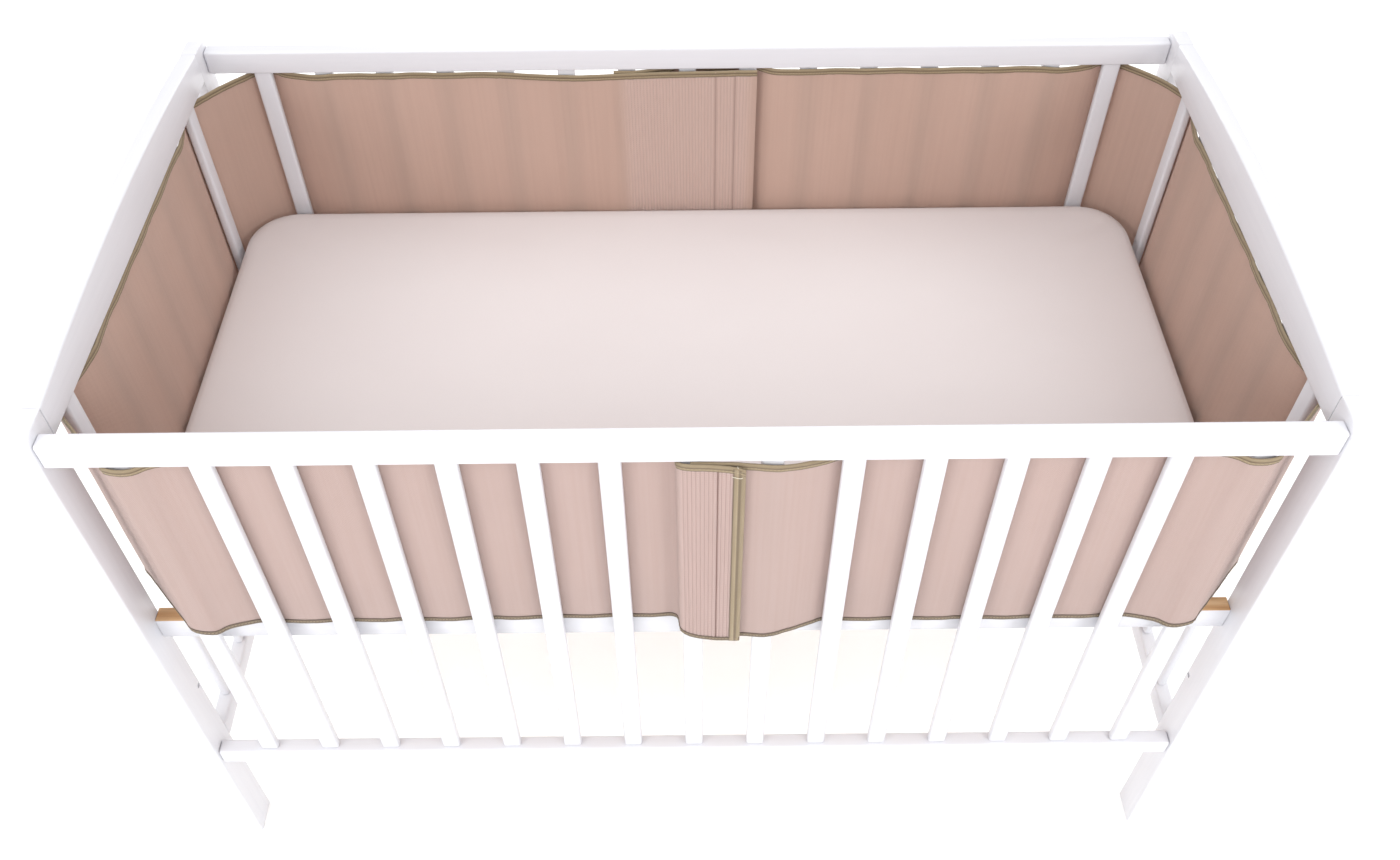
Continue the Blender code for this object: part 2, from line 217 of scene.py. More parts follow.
def bare_wood(name, along):
    """Sawn pine: rings drawn out along the board, pores and a few darker streaks."""
    made, tree, shader = new_material(name)
    scale = [30.0, 30.0, 30.0]
    scale["xyz".index(along)] = 1.6
    place = stretched(tree, scale)
    warp = cloud(tree, place, 1.0, 3.0)
    rings = node(tree, "ShaderNodeTexWave", {
        "Vector": place, "Scale": 1.1, "Distortion": 6.0, "Detail": 3.0, "Detail Scale": 1.4,
    }, bands_direction="DIAGONAL").outputs["Fac"]
    fine_scale = [900.0, 900.0, 900.0]
    fine_scale["xyz".index(along)] = 22.0
    pores = cloud(tree, stretched(tree, fine_scale), 1.0, 2.0, 0.7)
    shade = blend_colours(tree, rings, srgb(218, 182, 140), srgb(196, 152, 106))
    shade = blend_colours(tree, spread(tree, warp, 0.45, 0.8, 0.0, 0.5), shade, srgb(160, 108, 66))
    shade = blend_colours(tree, spread(tree, pores, 0.55, 0.8, 0.0, 0.5), shade, srgb(136, 92, 56))
    tree.links.new(shade, shader.inputs["Base Color"])
    tree.links.new(spread(tree, rings, 0.0, 1.0, 0.72, 0.58), shader.inputs["Roughness"])
    tree.links.new(bump(tree, pores, 0.0002, 0.7), shader.inputs["Normal"])
    return made


def liner_mesh():
    """Warp-knit mesh: staggered holes between wales, coarser where the layers are doubled, with
    painted shade in its holes and in the grooves between the ribs.
    """
    made, tree, shader = new_material("liner_mesh_knit")
    split = node(tree, "ShaderNodeSeparateXYZ", {0: node(tree, "ShaderNodeTexCoord").outputs["UV"]})
    along, up = split.outputs[0], split.outputs[1]
    coarse = node(tree, "ShaderNodeAttribute", attribute_name="coarse").outputs["Fac"]

    def holes(wale, course):
        across = calc(tree, "COSINE", calc(tree, "MULTIPLY", along, 2 * math.pi / wale))
        upward = calc(tree, "COSINE", calc(tree, "MULTIPLY", up, 2 * math.pi / course))
        return calc(tree, "MULTIPLY", across, upward)

    fine = holes(0.0016, 0.0022)
    wide = holes(RIB_PITCH, HOLE_PITCH)
    lattice = node(tree, "ShaderNodeMix", {0: coarse, 2: fine, 3: wide}).outputs[0]
    hole = spread(tree, lattice, 0.25, 0.85, 0.0, 1.0)
    wale = calc(tree, "COSINE", calc(tree, "MULTIPLY", along, 2 * math.pi / RIB_PITCH))
    groove = calc(tree, "MULTIPLY", coarse, spread(tree, wale, -1.0, 0.1, 1.0, 0.0))
    outer = node(tree, "ShaderNodeAttribute", attribute_name="outer").outputs["Fac"]
    broad = cloud(tree, stretched(tree, (9.0, 9.0, 3.0)), 1.0, 3.0)
    streak = cloud(tree, stretched(tree, (260.0, 260.0, 4.0)), 1.0, 2.0)
    # The inner face is warmer and more saturated than the outer face. This is partly the mesh's two
    # faces and partly painted light that bounces off the cloth inside the cot.
    shade = blend_colours(tree, broad, srgb(205, 176, 161), srgb(213, 185, 171))
    pale = blend_colours(tree, broad, srgb(199, 177, 170), srgb(206, 184, 178))
    shade = blend_colours(tree, outer, shade, pale)
    shade = blend_colours(tree, spread(tree, streak, 0.4, 0.8, 0.0, 0.20), shade, srgb(188, 157, 145))
    # In the doubled stretches the inner face is brighter than the outer face. This is partly the
    # cloth's own tone and partly painted light.
    doubled = blend_colours(tree, outer, srgb(224, 199, 190), srgb(203, 178, 172))
    shade = blend_colours(tree, calc(tree, "MULTIPLY", coarse, 0.7), shade, doubled)
    # The holes are real, but their dark colour is painted shade, standing in for the dark seen through
    # the mesh.
    shade = blend_colours(tree, calc(tree, "MULTIPLY", hole, 0.32), shade, srgb(152, 117, 105))
    # Painted shade in the grooves between the raised ribs, stronger on the outer face.
    depth = calc(tree, "MULTIPLY", groove, spread(tree, outer, 0.0, 1.0, 0.14, 0.34))
    shade = blend_colours(tree, depth, shade, srgb(146, 113, 105))
    seam = node(tree, "ShaderNodeAttribute", attribute_name="seam").outputs["Fac"]
    shade = blend_colours(tree, calc(tree, "MULTIPLY", seam, 0.55), shade, srgb(132, 98, 88))
    tree.links.new(shade, shader.inputs["Base Color"])
    shader.inputs["Roughness"].default_value = 0.86
    shader.inputs["Specular IOR Level"].default_value = 0.25
    shader.inputs["Sheen Weight"].default_value = 0.15
    shader.inputs["Sheen Roughness"].default_value = 0.5
    relief = bump(tree, calc(tree, "SUBTRACT", 1.0, hole), 0.0003, 0.8)
    tree.links.new(relief, shader.inputs["Normal"])
    glow = node(tree, "ShaderNodeBsdfTranslucent", {"Color": shade, "Normal": relief})
    mixed = node(tree, "ShaderNodeMixShader", {0: 0.28, 1: shader.outputs[0], 2: glow.outputs[0]})
    tree.links.new(mixed.outputs[0], tree.nodes["Material Output"].inputs["Surface"])
    return made


def tape_twill():
    """Khaki tape in fine twill, with a painted highlight on its fold and painted shade along the seam
    and at the open edges.
    """
    made, tree, shader = new_material("binding_tape_khaki")
    split = node(tree, "ShaderNodeSeparateXYZ", {0: node(tree, "ShaderNodeTexCoord").outputs["UV"]})
    slant = calc(tree, "ADD", split.outputs[0], split.outputs[1])
    twill = calc(tree, "COSINE", calc(tree, "MULTIPLY", slant, 2 * math.pi / 0.0011))
    broad = cloud(tree, stretched(tree, (24.0, 24.0, 24.0)), 1.0, 3.0)
    into = node(tree, "ShaderNodeAttribute", attribute_name="into").outputs["Fac"]
    painted_foot_shade = node(tree, "ShaderNodeAttribute", attribute_name="painted_foot_shade").outputs["Fac"]
    pale, middle = srgb(170, 152, 124), srgb(150, 132, 104)
    # Painted light across the tape: a painted highlight on the fold, and painted shade in a band along
    # the seam and at the open edges.
    shade = ramp(tree, into, (0.0, pale), (0.26, middle), (0.40, srgb(110, 92, 70)),
                 (0.50, srgb(116, 98, 76)), (0.62, pale), (0.86, middle), (0.97, srgb(88, 71, 56)))
    shade = blend_colours(tree, spread(tree, broad, 0.35, 0.7, 0.0, 0.3), shade, srgb(136, 119, 92))
    shade = blend_colours(tree, spread(tree, twill, -1.0, 1.0, 0.30, 0.0), shade, srgb(92, 76, 54))
    # Painted shade: the foot tape is painted darker all along, because it faces down, away from the
    # light.
    shade = blend_colours(tree, calc(tree, "MULTIPLY", painted_foot_shade, 0.60), shade, srgb(90, 75, 64))
    tree.links.new(shade, shader.inputs["Base Color"])
    shader.inputs["Roughness"].default_value = 0.72
    shader.inputs["Sheen Weight"].default_value = 0.10
    tree.links.new(bump(tree, twill, 0.00015, 0.8), shader.inputs["Normal"])
    return made


def sewing_thread(name, colour, shadow):
    made, tree, shader = new_material(name)
    twist = cloud(tree, stretched(tree, (1800.0, 1800.0, 900.0)), 1.0, 1.0)
    tree.links.new(blend_colours(tree, twist, colour, shadow), shader.inputs["Base Color"])
    shader.inputs["Roughness"].default_value = 0.55
    return made


def fitted_sheet():
    """Fine cotton jersey in pale pink-beige, with the stitches' rows just showing."""
    made, tree, shader = new_material("mattress_cover_jersey")
    rows = stretched(tree, (1400.0, 1400.0, 1400.0))
    knit = node(tree, "ShaderNodeTexWave", {"Vector": rows, "Scale": 0.5, "Distortion": 1.5},
                bands_direction="Y").outputs["Fac"]
    fuzz = cloud(tree, stretched(tree, (900.0, 900.0, 900.0)), 1.0, 3.0, 0.6)
    broad = cloud(tree, stretched(tree, (3.5, 5.0, 5.0)), 1.0, 3.0)
    shade = blend_colours(tree, broad, srgb(215, 207, 207), srgb(221, 215, 215))
    shade = blend_colours(tree, spread(tree, fuzz, 0.35, 0.75, 0.10, 0.0), shade, srgb(200, 178, 175))
    shade = blend_colours(tree, calc(tree, "MULTIPLY", knit, 0.08), shade, srgb(206, 187, 183))
    tree.links.new(shade, shader.inputs["Base Color"])
    shader.inputs["Roughness"].default_value = 0.88
    shader.inputs["Specular IOR Level"].default_value = 0.25
    shader.inputs["Sheen Weight"].default_value = 0.25
    shader.inputs["Sheen Roughness"].default_value = 0.6
    tree.links.new(bump(tree, fuzz, 0.00012, 0.6), shader.inputs["Normal"])
    return made


def pale_floor():
    """White studio floor, lit a little from below as a light table is."""
    made, tree, shader = new_material("pale_floor")
    broad = cloud(tree, stretched(tree, (1.3, 1.3, 1.3)), 1.0, 2.0)
    tree.links.new(blend_colours(tree, broad, srgb(250, 250, 250), srgb(252, 252, 252)),
                   shader.inputs["Base Color"])
    shader.inputs["Roughness"].default_value = 0.85
    shader.inputs["Emission Color"].default_value = (1.0, 1.0, 1.0, 1.0)
    shader.inputs["Emission Strength"].default_value = 0.06
    return made


PAINT = {axis: white_paint(f"white_paint_along_{axis}", axis) for axis in "xyz"}
WOOD = {axis: bare_wood(f"bare_wood_along_{axis}", axis) for axis in "xy"}
MESH = liner_mesh()
TAPE = tape_twill()
TAPE_THREAD = sewing_thread("binding_thread", srgb(196, 180, 150), srgb(150, 132, 100))
SEAM_THREAD = sewing_thread("seam_thread", srgb(160, 124, 115), srgb(124, 90, 82))
WHITE_THREAD = sewing_thread("loose_end_thread", srgb(240, 234, 220), srgb(206, 196, 176))
SHEET = fitted_sheet()


# Modelling helpers

def block(name, low, high):
    """A box between two corners, made at its size and place."""
    low, high = Vector(low), Vector(high)
    bpy.ops.mesh.primitive_cube_add(size=1.0, location=(low + high) / 2)
    made = bpy.context.object
    made.name = name
    made.scale = high - low
    bpy.ops.object.transform_apply(location=True, rotation=True, scale=True)
    return made


def pick_edges(made, test):
    """Goes to edit mode with the edges selected whose middle and direction pass a test."""
    bpy.ops.object.mode_set(mode="EDIT")
    bpy.ops.mesh.select_mode(type="EDGE")
    bpy.ops.mesh.select_all(action="DESELECT")
    bpy.ops.object.mode_set(mode="OBJECT")
    points = made.data.vertices
    for edge in made.data.edges:
        a, b = (points[i].co for i in edge.vertices)
        edge.select = test((a + b) / 2, (b - a).normalized())
    bpy.ops.object.mode_set(mode="EDIT")


def ease_edges(made, test, radius, segments=3):
    pick_edges(made, test)
    bpy.ops.mesh.bevel(offset=radius, segments=segments, profile=0.5, affect="EDGES")
    bpy.ops.object.mode_set(mode="OBJECT")


def finish_board(made):
    bpy.ops.object.shade_smooth_by_angle(angle=math.radians(35))
    return made


def dress(made, finish, slot, *nodes):
    """Gives a piece its finish, sets it on the frame's one body, and hides the model's parts that it
    stands for.
    """
    made.data.materials.clear()
    made.data.materials.append(finish)
    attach(made, "root")
    if nodes:
        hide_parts(*nodes)
    bpy.ops.object.select_all(action="DESELECT")
    return made


# The cot

def painted_bar(name, low, high, along, *nodes):
    made = block(name, low, high)
    ease_edges(made, lambda middle, way: True, SLAT_EASE if along == "z" else EASE, 4)
    finish_board(made)
    return dress(made, PAINT[along], "white_paint", *nodes)


def spare_hole(made, inner_x, sign_y):
    """The bolt hole of the base's lower place, drilled in a leg's inner face."""
    radius, depth, across, height = SPARE_HOLE
    bpy.ops.mesh.primitive_cylinder_add(
        vertices=24, radius=radius, depth=depth * 2, rotation=(0, math.pi / 2, 0),
        location=(inner_x, sign_y * across, height))
    drill = bpy.context.object
    bpy.ops.object.transform_apply(location=True, rotation=True, scale=True)
    bpy.ops.object.select_all(action="DESELECT")
    made.select_set(True)
    bpy.context.view_layer.objects.active = made
    cut = made.modifiers.new("drilled", "BOOLEAN")
    cut.operation = "DIFFERENCE"
    cut.object = drill
    bpy.ops.object.modifier_apply(modifier="drilled")
    bpy.data.objects.remove(drill, do_unlink=True)


def leg(end, side, sign_x, sign_y):
    name = f"{end}_leg_{side}"
    low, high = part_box(name)
    made = block(f"{name}_post", low, high)
    outer = high.y if sign_y > 0 else low.y
    inner = low.y if sign_y > 0 else high.y
    top = high.z
    ease_edges(made, lambda m, w: abs(w.x) > 0.9 and abs(m.y - outer) < GAP and abs(m.z - top) < GAP,
               LEG_CORNER, 8)
    ease_edges(made, lambda m, w: abs(m.y - inner) < GAP and abs(w.x) < 0.5, JOINT_EASE, 2)
    sides = (low.x, high.x)
    ease_edges(made, lambda m, w: abs(w.x) < 0.5 and abs(m.y - inner) > 3 * EASE
               and min(abs(m.x - side) for side in sides) < GAP, EASE, 3)
    spare_hole(made, low.x if sign_x > 0 else high.x, sign_y)
    finish_board(made)
    return dress(made, PAINT["z"], "white_paint", name)


def arched_rail(end):
    """The end's top rail: a straight board whose upper edge is raised to a low arch."""
    name = f"{end}_arched_rail"
    low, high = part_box(name)
    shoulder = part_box(f"{end}_leg_front")[1].z
    made = block(f"{name}_board", low, (high.x, high.y, shoulder))
    pick_edges(made, lambda m, w: abs(w.y) > 0.9)
    bpy.ops.mesh.subdivide(number_cuts=ARCH_CUTS)
    bpy.ops.object.mode_set(mode="OBJECT")
    half = high.y
    for point in made.data.vertices:
        if abs(point.co.z - shoulder) < GAP:
            point.co.z += (high.z - shoulder) * (1 - (point.co.y / half) ** 2)
    sides = (low.x, high.x)
    ease_edges(made, lambda m, w: abs(w.y) > 0.5
               and min(abs(m.x - side) for side in sides) < GAP, EASE, 3)
    finish_board(made)
    return dress(made, PAINT["y"], "white_paint", name)


def end_frame(end, sign):
    for side, sign_y in (("front", -1), ("back", 1)):
        leg(end, side, sign, sign_y)
    arched_rail(end)
    node_name = f"{end}_slats_on_low_rail"
    low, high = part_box(node_name)
    arch_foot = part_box(f"{end}_arched_rail")[0].z
    rail_top = low.z + (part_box("front_low_rail")[1].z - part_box("front_low_rail")[0].z)
    painted_bar(f"{end}_low_rail", low, (high.x, high.y, rail_top), "y", node_name)
    middle = (low.x + high.x) / 2
    for number in range(1, END_SLATS + 1):
        y = (number - (END_SLATS + 1) / 2) * END_PITCH
        foot = (middle - SLAT_THICK / 2, y - SLAT_WIDTH / 2, rail_top + GAP)
        head = (middle + SLAT_THICK / 2, y + SLAT_WIDTH / 2, arch_foot - GAP)
        painted_bar(f"{end}_end_slat_{number}", foot, head, "z")


def side_frame(side):
    for part in ("top_rail", "low_rail"):
        name = f"{side}_{part}"
        painted_bar(f"{name}_bar", *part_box(name), "x", name)
    for number in range(1, SLATS + 1):
        name = f"{side}_slat_{number:02d}"
        painted_bar(f"{name}_bar", *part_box(name), "z", name)


def base():
    """Base rails painted but for the sawn top, and sawn slats between them."""
    for side in ("front", "back"):
        name = f"base_rail_{side}"
        low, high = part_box(name)
        made = block(f"{name}_bar", low, high)
        ease_edges(made, lambda middle, way: True, SAWN_EASE, 2)
        finish_board(made)
        dress(made, PAINT["x"], "white_paint", name)
        made.data.materials.append(WOOD["x"])
        for face in made.data.polygons:
            if face.normal.z > 0.9:
                face.material_index = 1
    for number in range(1, 9):
        name = f"base_slat_{number}"
        made = block(f"{name}_board", *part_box(name))
        ease_edges(made, lambda middle, way: True, SAWN_EASE, 2)
        finish_board(made)
        dress(made, WOOD["y"], "bare_wood", name)


# The mattress in its fitted sheet

def crease(point, start, end, width, depth):
    """Depth of one soft trough that runs from start to end, at a point seen from above."""
    start, end = Vector(start), Vector(end)
    run = end - start
    share = max(0.0, min(1.0, (point - start).dot(run) / run.length_squared))
    away = (point - start - run * share).length
    return -depth * math.exp(-((away / width) ** 2)) * math.sin(math.pi * (0.1 + 0.8 * share))


# Plan positions in metres: start, end, width, depth
CREASES = (
    ((0.578, 0.268), (0.500, 0.222), 0.007, 0.0030),
    ((0.575, 0.240), (0.520, 0.150), 0.009, 0.0010),
    ((-0.560, 0.262), (-0.480, 0.215), 0.011, 0.0012),
    ((-0.570, 0.235), (-0.535, 0.150), 0.010, 0.0009),
    ((-0.555, -0.262), (-0.470, -0.215), 0.011, 0.0012),
    ((0.560, -0.262), (0.480, -0.220), 0.011, 0.0012),
    ((0.020, 0.270), (0.200, 0.235), 0.020, 0.0010),
    ((-0.330, 0.262), (-0.180, 0.240), 0.018, 0.0008),
)


def mattress():
    low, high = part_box("mattress")
    middle = (low + high) / 2
    half = (high - low) / 2
    made = block("mattress_in_sheet", low, high)
    for axis, cuts in enumerate(MATTRESS_CUTS):
        pick_edges(made, lambda m, w: abs(w[axis]) > 0.9)
        bpy.ops.mesh.subdivide(number_cuts=cuts, quadcorner="INNERVERT")
        bpy.ops.object.mode_set(mode="OBJECT")
    crown_top = high.z - MATTRESS_CROWN
    for point in made.data.vertices:
        flat = (point.co - middle).xy
        inner = Vector((max(-half.x + MATTRESS_CORNER, min(half.x - MATTRESS_CORNER, flat.x)),
                        max(-half.y + MATTRESS_CORNER, min(half.y - MATTRESS_CORNER, flat.y))))
        out = flat - inner
        reach = max(abs(out.x), abs(out.y))
        if out.length > GAP:
            flat = inner + out.normalized() * reach
            out = flat - inner
        edge = MATTRESS_CORNER - out.length if out.length > GAP else min(
            half.x - abs(flat.x), half.y - abs(flat.y))
        z = point.co.z
        is_top = z > middle.z
        face_z = crown_top if is_top else low.z
        # The rim: a quarter round between the side and the top or bottom.
        up = abs(z - (high.z if is_top else low.z))
        if edge < MATTRESS_RIM or up < MATTRESS_RIM:
            across = max(0.0, MATTRESS_RIM - edge)
            down = max(0.0, MATTRESS_RIM - up)
            size = math.hypot(across, down)
            reach = max(across, down)
            if size > GAP:
                if out.length > GAP:
                    flat = flat + out.normalized() * (across / size * reach - across)
                down = down / size * reach
            if up < MATTRESS_RIM:
                z = face_z + (down - MATTRESS_RIM) * (1 if is_top else -1)
        if is_top and edge >= MATTRESS_RIM:
            z = face_z
        if is_top:
            share = 1 - max(abs(flat.x) / half.x, abs(flat.y) / half.y) ** 2
            rise = MATTRESS_CROWN * max(0.0, share) ** CROWN_FALL
            spot = flat + middle.xy
            dents = sum(crease(spot, *row) for row in CREASES)
            wave = sum(tall * noise.noise(Vector((spot.x * long, spot.y * wide, shift)))
                       for tall, long, wide, shift in SHEET_WAVES)
            if up < GAP:
                z += rise + (dents + wave) * min(1.0, edge / SHEET_EDGE)
        point.co = Vector((flat.x + middle.x, flat.y + middle.y, z))
    bpy.ops.object.shade_smooth()
    dress(made, SHEET, "mattress_cover", "mattress")
    return made


# The liner's route: the rows of its solids, with more of them at the front flap

side_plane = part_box("front_slat_01")
SIDE_PLANE = -(side_plane[0].y + side_plane[1].y) / 2
end_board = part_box("left_leg_front")
END_PLANE = -(end_board[0].x + end_board[1].x) / 2
SIDE_X = [sum(corner.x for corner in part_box(f"front_slat_{n:02d}")) / 2 for n in range(1, SLATS + 1)]
PITCH = (SIDE_X[-1] - SIDE_X[0]) / (SLATS - 1)


def side_slat_x(number):
    return (number - (SLATS + 1) / 2) * PITCH


def end_slat_y(number):
    return (number - (END_SLATS + 1) / 2) * END_PITCH


def place(side, along, out):
    """Plan position of the cloth's middle: a distance along one side, and out from its slats."""
    if side == "front":
        return along, -(SIDE_PLANE + out)
    if side == "back":
        return along, SIDE_PLANE + out
    if side == "left":
        return -(END_PLANE + out), along
    return END_PLANE + out, along


def slat_places(side):
    return side_slat_x if side in ("front", "back") else end_slat_y


def by_slat(side, along, edges, out, top, foot):
    """Rows beside one slat, at the given half widths from its middle."""
    return [(side, along + edge * SLAT_WIDTH / 2, out, top, foot) for edge in edges]


def weave(side, first, last, top, foot, last_foot=None):
    """Rows for cloth that lies inside a run of slats and bows out between them."""
    across = slat_places(side)
    step = 1 if last > first else -1
    forward = math.copysign(1, across(last) - across(first))
    fall = 0.0 if last_foot is None else (last_foot - foot) / abs(last - first)
    rows = by_slat(side, across(first), (forward,), INSIDE, top, foot)
    for number in range(first + step, last + step, step):
        foot += fall
        rows += [(side, across(number - step / 2), INSIDE + SCALLOP, top, foot - fall / 2)]
        edges = (-forward,) if number == last else (-forward, forward)
        rows += by_slat(side, across(number), edges, INSIDE, top, foot)
    return rows


def cross(side, number, step, start, top, foot):
    """Rows that leave one slat's face, pass through the gap and reach the next slat's other face."""
    across = slat_places(side)
    forward = math.copysign(1, across(number + step) - across(number))
    rows = by_slat(side, across(number), (forward,), start, top, foot)
    share = CROSS_SHARE if start == INSIDE else 1 - CROSS_SHARE
    rows += [(side, across(number + step * share), 0.0, top, foot)]
    return rows + by_slat(side, across(number + step), (-forward,), -start, top, foot)


def corner(side_a, slat_a, side_b, slat_b, bulge, top, foot):
    """Rows from outside the last slat of one side, across the corner, to the next side's slat."""
    first = by_slat(side_a, slat_a, (math.copysign(1, slat_a),), OUTSIDE, top, foot)
    last = by_slat(side_b, slat_b, (math.copysign(1, slat_b),), OUTSIDE, top, foot)
    leave, reach = Vector(place(*first[0][:3])), Vector(place(*last[0][:3]))
    away = (leave + reach).normalized()
    rows = []
    for share in CORNER_SHARES:
        spot = leave.lerp(reach, share) + away * bulge * 4 * share * (1 - share)
        if side_a in ("front", "back"):
            rows.append((side_a, spot.x, abs(spot.y) - SIDE_PLANE, top, foot))
        else:
            rows.append((side_a, spot.y, abs(spot.x) - END_PLANE, top, foot))
    return first + rows + last


# One row for each fold or stretch: side, distance along it, distance out, top edge, lower edge.
def left_route():
    edge = side_slat_x(8) - SLAT_WIDTH / 2
    flap = OUTSIDE + LAYER
    rows = [
        ("front", 0.051, flap + 0.0034, 0.8082, 0.5040),
        ("front", 0.042, flap + 0.0020, 0.8105, 0.5020),
        ("front", 0.026, flap + 0.0006, 0.8123, 0.5000),
        ("front", 0.012, flap + 0.0004, 0.8130, 0.5020),
        ("front", edge + 0.013, OUTSIDE + 0.0032, 0.8130, 0.5050),
        ("front", edge + 0.005, OUTSIDE + 0.0022, 0.8128, 0.5085),
        ("front", edge - 0.0019, OUTSIDE - 0.0006, 0.8122, 0.5125),
        ("front", edge - 0.0033, 0.0005, 0.8106, 0.5160),
        ("front", edge - 0.0043, INSIDE + 0.003, 0.8102, 0.5185),
        ("front", edge - 0.0100, INSIDE + 0.0003, 0.8100, 0.5200),
        ("front", edge - 0.0330, INSIDE + 0.0008, 0.8090, 0.5198),
    ]
    rows += weave("front", 7, 2, 0.809, 0.5192, 0.5145)
    rows += cross("front", 2, -1, INSIDE, 0.810, 0.5160)
    rows += corner("front", side_slat_x(1), "left", end_slat_y(1), 0.0, 0.8130, 0.5240)
    rows += cross("left", 1, 1, OUTSIDE, 0.8135, 0.520)
    rows += weave("left", 2, 6, 0.8150, 0.512)
    rows += cross("left", 6, 1, INSIDE, 0.813, 0.512)
    rows += corner("left", end_slat_y(7), "back", side_slat_x(1), 0.005, 0.809, 0.512)
    rows += cross("back", 1, 1, OUTSIDE, 0.811, 0.511)
    rows += weave("back", 2, 5, 0.8125, 0.510)
    rows += [("back", side_slat_x(5.6), INSIDE, 0.8085, 0.510)]
    rows += [("back", side_slat_x(6.2), INSIDE - LAYER / 2, 0.8075, 0.510)]
    rows += [("back", side_slat_x(6.7), INSIDE - LAYER, 0.8095, 0.510)]
    rows += [("back", side_slat_x(7), INSIDE - LAYER, 0.8105, 0.510)]
    rows += [("back", side_slat_x(8), INSIDE - LAYER, 0.8125, 0.510)]
    rows += [("back", side_slat_x(9) + 0.0115, INSIDE - LAYER, 0.8135, 0.510)]
    return rows


def right_route():
    rows = [
        ("front", side_slat_x(8) - 0.001, OUTSIDE, 0.8128, 0.506),
        ("front", side_slat_x(8) + 0.026, OUTSIDE, 0.8128, 0.505),
        ("front", side_slat_x(8) + 0.046, OUTSIDE, 0.8115, 0.504),
        ("front", side_slat_x(9) - 0.020, OUTSIDE, 0.8098, 0.503),
        ("front", side_slat_x(9) + 0.004, OUTSIDE + 0.0005, 0.8075, 0.501),
        ("front", side_slat_x(9) + 0.028, OUTSIDE - 0.005, 0.8042, 0.503),
        ("front", side_slat_x(10) - 0.024, INSIDE + 0.004, 0.8035, 0.506),
    ]
    rows += by_slat("front", side_slat_x(10), (-1,), INSIDE, 0.8050, 0.507)
    rows += weave("front", 10, 14, 0.808, 0.507, 0.509)
    rows += cross("front", 14, 1, INSIDE, 0.810, 0.5115)
    rows += corner("front", side_slat_x(15), "right", end_slat_y(1), 0.0, 0.8130, 0.5190)
    rows += cross("right", 1, 1, OUTSIDE, 0.8125, 0.517)
    rows += weave("right", 2, 6, 0.8130, 0.511)
    rows += cross("right", 6, 1, INSIDE, 0.812, 0.511)
    rows += corner("right", end_slat_y(7), "back", side_slat_x(15), 0.009, 0.808, 0.512)
    rows += cross("back", 15, -1, OUTSIDE, 0.811, 0.511)
    rows += weave("back", 14, 10, 0.8125, 0.510)
    rows += by_slat("back", side_slat_x(10), (-1,), INSIDE, 0.8125, 0.510)
    rows += [
        ("back", side_slat_x(9) + 0.032, INSIDE + 0.001, 0.813, 0.510),
        ("back", side_slat_x(9) + 0.0175, 0.0, 0.813, 0.510),
        ("back", side_slat_x(9) + 0.008, OUTSIDE, 0.812, 0.510),
        ("back", side_slat_x(8.5), OUTSIDE, 0.809, 0.510),
    ]
    rows += cross("back", 8, -1, OUTSIDE, 0.8125, 0.510)
    rows += by_slat("back", side_slat_x(7), (0, -1.5), INSIDE, 0.8125, 0.510)
    return rows


class Route:
    """A smooth line through the rows, measured along its run.

    turn is 1 or -1, so that outward points away from the cot's inside.
    """

    def __init__(self, rows, turn):
        self.turn = turn
        knots = [Vector((*place(*row[:3]), row[3], row[4])) for row in rows]
        knots = [2 * knots[0] - knots[1]] + knots + [2 * knots[-1] - knots[-2]]
        self.points = []
        for a, b, c, d in zip(knots, knots[1:], knots[2:], knots[3:]):
            t0 = math.sqrt((b - a).length)
            t1 = t0 + math.sqrt((c - b).length)
            t2 = t1 + math.sqrt((d - c).length)
            steps = max(1, round((c - b).length / FINE_STEP))
            for step in range(steps):
                t = t0 + (t1 - t0) * step / steps
                ab = a.lerp(b, t / t0)
                bc = b.lerp(c, (t - t0) / (t1 - t0))
                cd = c.lerp(d, (t - t1) / (t2 - t1))
                left = ab.lerp(bc, t / t1)
                right = bc.lerp(cd, (t - t0) / (t2 - t0))
                self.points.append(left.lerp(right, (t - t0) / (t1 - t0)))
        self.points.append(knots[-2])
        self.runs = [0.0]
        for a, b in zip(self.points, self.points[1:]):
            self.runs.append(self.runs[-1] + (b - a).xy.length)
        self.length = self.runs[-1]

    def at(self, run):
        """The line's point (x, y, top, foot), at a distance along it."""
        run = max(0.0, min(self.length, run))
        low, high = 0, len(self.runs) - 1
        while high - low > 1:
            middle = (low + high) // 2
            if self.runs[middle] <= run:
                low = middle
            else:
                high = middle
        share = (run - self.runs[low]) / (self.runs[high] - self.runs[low])
        return self.points[low].lerp(self.points[high], share)

    def outward(self, run):
        """Unit vector across the cloth, away from the cot's inside."""
        reach = 0.0015
        ahead = self.at(run + reach) - self.at(run - reach)
        across = Vector((ahead.y, -ahead.x)).normalized()
        return across * self.turn


def soft(value, low, high):
    """0 below low, 1 above high, smooth between."""
    share = max(0.0, min(1.0, (value - low) / (high - low)))
    return share * share * (3 - 2 * share)


def in_zone(point, zones):
    """How far inside a coarse zone a plan point lies: 0 outside, 1 inside."""
    best = 0.0
    for side, low, high in zones:
        on_side = point.y < 0 if side == "front" else point.y > 0
        if on_side:
            inside = min(point.x - low, high - point.x)
            best = max(best, soft(inside, 0.0, COARSE_FADE[side]))
    return best


def seam_share(point, seams):
    """1 on the line of a seam, 0 away from it."""
    best = 0.0
    for side, x in seams:
        on_side = point.y < 0 if side == "front" else point.y > 0
        if on_side:
            best = max(best, math.exp(-(((point.x - x) / SEAM_HALF) ** 2)))
    return best


